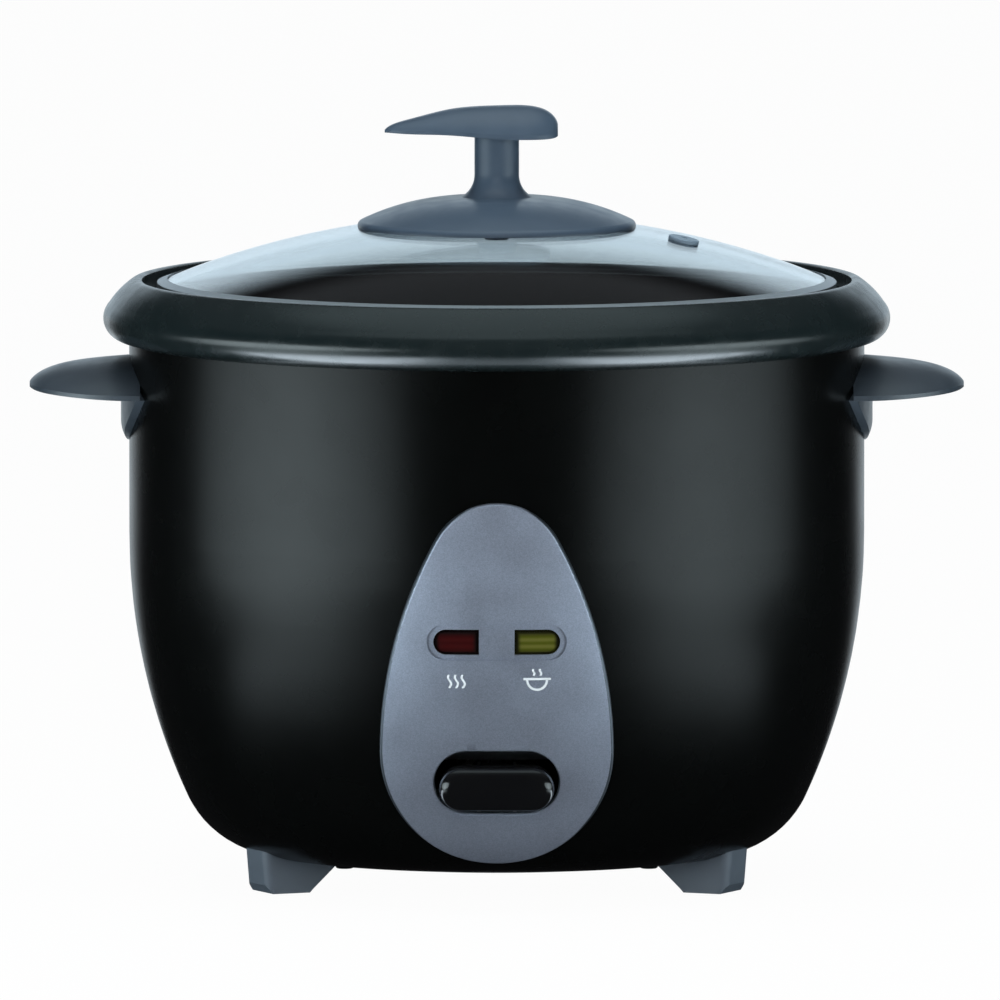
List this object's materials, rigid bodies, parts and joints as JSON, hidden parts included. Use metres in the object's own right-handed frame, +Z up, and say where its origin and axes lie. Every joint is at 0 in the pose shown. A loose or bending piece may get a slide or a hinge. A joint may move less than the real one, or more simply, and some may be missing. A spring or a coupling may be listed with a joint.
{
  "type": "rice cooker",
  "caption": "Drum-shaped rice cooker with a lift-off glass lid, lift-out pot, cook and warm lever, sprung heat sensor, side handles and feet; boils rice and keeps it warm.",
  "frame": {"origin": "on the worktop, under the middle of the body", "axes": "+Z up, -Y out of the control panel, +X towards the right-hand handle seen from the front"},
  "size_m": [0.3176, 0.2676, 0.2651],
  "materials": {
    "shell_enamel": "gloss black enamel on steel",
    "ring_plastic": "dark grey moulded plastic, semi-gloss",
    "handle_plastic": "slate grey moulded plastic, fine texture",
    "foot_plastic": "dark grey moulded plastic",
    "panel_silver": "metallic blue-grey lacquer on plastic",
    "lens_red": "dark red translucent plastic",
    "lens_amber": "dark yellow translucent plastic",
    "lamp_glass": "clear lamp capsule",
    "key_black": "high-gloss black",
    "holder_white": "white heat-proof plastic",
    "switch_plastic": "black phenolic",
    "plated_steel": "zinc-plated sheet steel",
    "liner_steel": "galvanised sheet steel",
    "spring_steel": "bright spring wire",
    "screw_steel": "bright plated screws",
    "cast_aluminium": "cast aluminium, turned top",
    "pot_aluminium": "satin spun aluminium",
    "element_steel": "heat-stained steel tube",
    "ferrite_grey": "sintered ferrite",
    "fuse_metal": "plated fuse can",
    "inlet_plastic": "black heat-proof plastic",
    "blade_brass": "plated brass",
    "lead_insulation": "white silicone insulation",
    "lid_glass": "clear tempered glass, faint blue",
    "band_steel": "polished stainless steel",
    "knob_plastic": "slate blue-grey moulded plastic, satin",
    "seal_rubber": "dark silicone"
  },
  "bodies": {
    "body": {"outer_shell": "shell_enamel", "top_ring": "ring_plastic", "inner_liner": "liner_steel", "base_plate": "plated_steel", "base_screws": "screw_steel", "foot_front_right": "foot_plastic", "foot_rear_right": "foot_plastic", "foot_rear_left": "foot_plastic", "foot_front_left": "foot_plastic", "foot_screws": "screw_steel", "left_handle": "handle_plastic", "right_handle": "handle_plastic", "handle_screws": "screw_steel", "control_panel": "panel_silver", "panel_nuts": "spring_steel", "cook_lens": "lens_red", "warm_lens": "lens_amber", "lamp_holder": "holder_white", "cook_lamp": "lamp_glass", "warm_lamp": "lamp_glass", "lever_pivot_pin": "plated_steel", "lever_bracket": "plated_steel", "micro_switch": "switch_plastic", "switch_screws": "screw_steel", "support_bridge": "plated_steel", "bridge_screws": "screw_steel", "sensor_guide": "plated_steel", "sensor_spring": "spring_steel", "heating_plate": "cast_aluminium", "heating_element": "element_steel", "plate_screws": "screw_steel", "thermal_fuse": "fuse_metal", "fuse_clip": "plated_steel", "power_inlet": "inlet_plastic", "inlet_blades": "blade_brass", "inlet_screws": "screw_steel", "supply_lead": "lead_insulation", "heater_lead": "lead_insulation", "return_lead": "lead_insulation"},
    "pot": {"inner_pot": "pot_aluminium"},
    "lid": {"lid_glass": "lid_glass", "lid_band": "band_steel", "vent_grommet": "seal_rubber", "knob_base": "knob_plastic", "knob_grip": "knob_plastic", "knob_screw": "screw_steel", "knob_washer": "plated_steel", "knob_gasket": "seal_rubber"},
    "lever": {"lever_paddle": "key_black", "lever_arm": "plated_steel"},
    "plunger": {"switch_plunger": "lens_red"},
    "sensor": {"sensor_cap": "pot_aluminium", "ferrite_core": "ferrite_grey", "magnet_spring": "spring_steel"},
    "magnet": {"magnet_ring": "ferrite_grey", "magnet_holder": "plated_steel", "rod_collar": "plated_steel"}
  },
  "joints": [
    {"name": "pot_lift", "type": "slide", "parent": "body", "child": "pot", "axis": [0, 0, 1], "range_m": [0, 0.16]},
    {"name": "lid_lift", "type": "slide", "parent": "pot", "child": "lid", "axis": [0, 0, 1], "range_m": [0, 0.1]},
    {"name": "lever_turn", "type": "hinge", "parent": "body", "child": "lever", "pos_m": [0, -0.056, 0.042], "axis": [-1, 0, 0], "range_deg": [0, 4.2]},
    {"name": "plunger_slide", "type": "slide", "parent": "body", "child": "plunger", "axis": [0, 0, 1], "range_m": [0, 0.0014]},
    {"name": "sensor_press", "type": "slide", "parent": "body", "child": "sensor", "axis": [0, 0, 1], "range_m": [-0.002, 0], "stiffness_N_per_m": 600, "springref_m": 0.003, "deforming": ["sensor_spring"]},
    {"name": "magnet_drop", "type": "slide", "parent": "sensor", "child": "magnet", "axis": [0, 0, 1], "range_m": [-0.0042, 0], "deforming": ["magnet_spring"]}
  ],
  "couplings": [
    {"joint": "plunger_slide", "follows": "lever_turn", "m_per_rad": 0.018},
    {"joint": "magnet_drop", "follows": "lever_turn", "m_per_rad": -0.0546}
  ]
}
